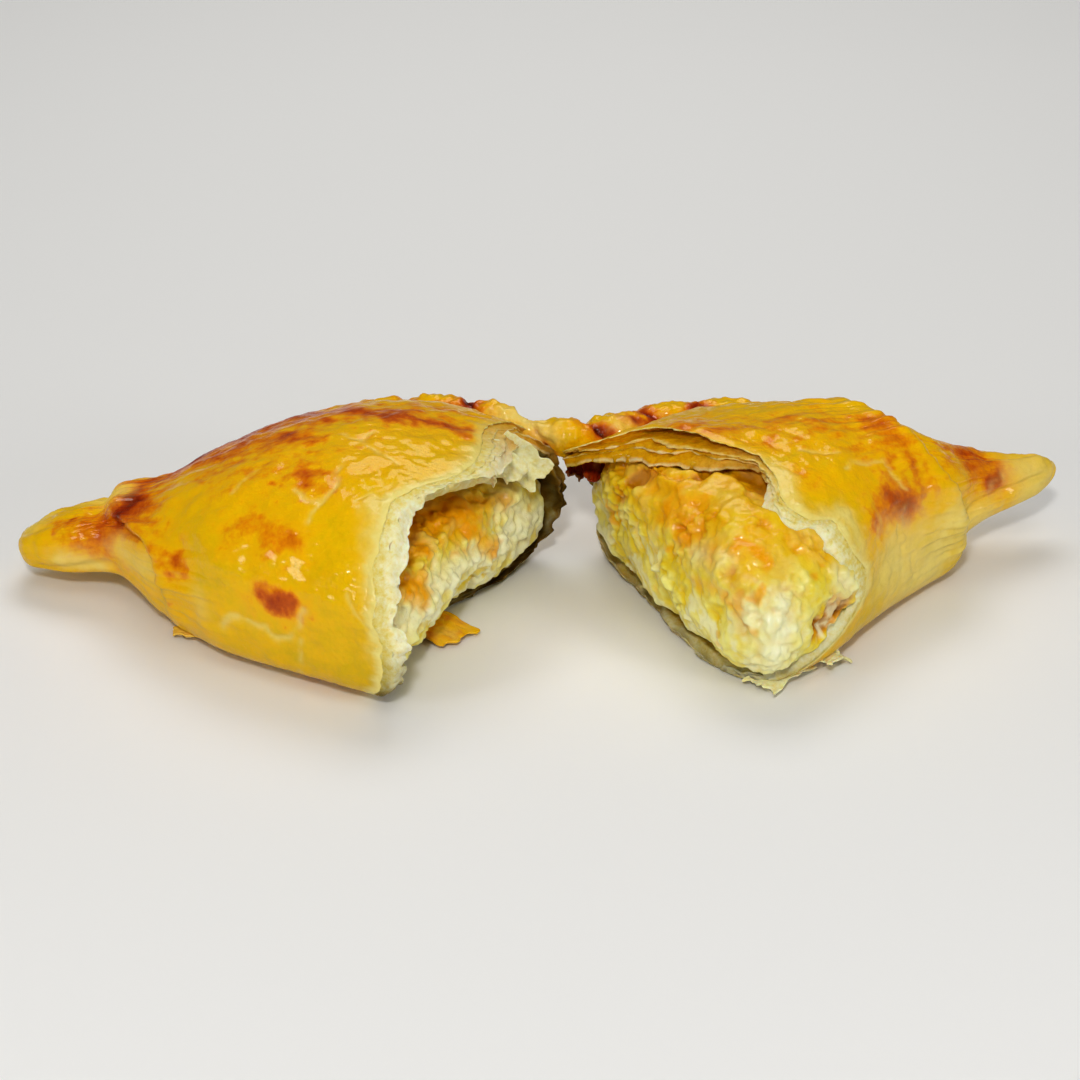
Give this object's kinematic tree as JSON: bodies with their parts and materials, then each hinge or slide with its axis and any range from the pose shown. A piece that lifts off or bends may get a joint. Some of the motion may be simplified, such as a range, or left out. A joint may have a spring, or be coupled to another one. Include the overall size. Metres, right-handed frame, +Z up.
{
  "type": "empanada",
  "caption": "Baked cheese empanada, a half-moon pastry torn across the middle and opened towards the front, its halves still joined by the roped seam at the back.",
  "frame": {"origin": "on the floor, under the middle of the part's outline", "axes": "+X along the length towards the right-hand tip, -Y towards the front, where the tear opens, +Z up"},
  "size_m": [0.2096, 0.0802, 0.0407],
  "materials": {
    "crust": "egg-glazed baked pastry, golden with toasted spots, pale and flaky where torn",
    "filling": "moist melted white cheese curds, pale yellow with orange streaks"
  },
  "bodies": {
    "root": {"crust": "crust", "filling_left": "filling", "filling_right": "filling"}
  },
  "joints": []
}
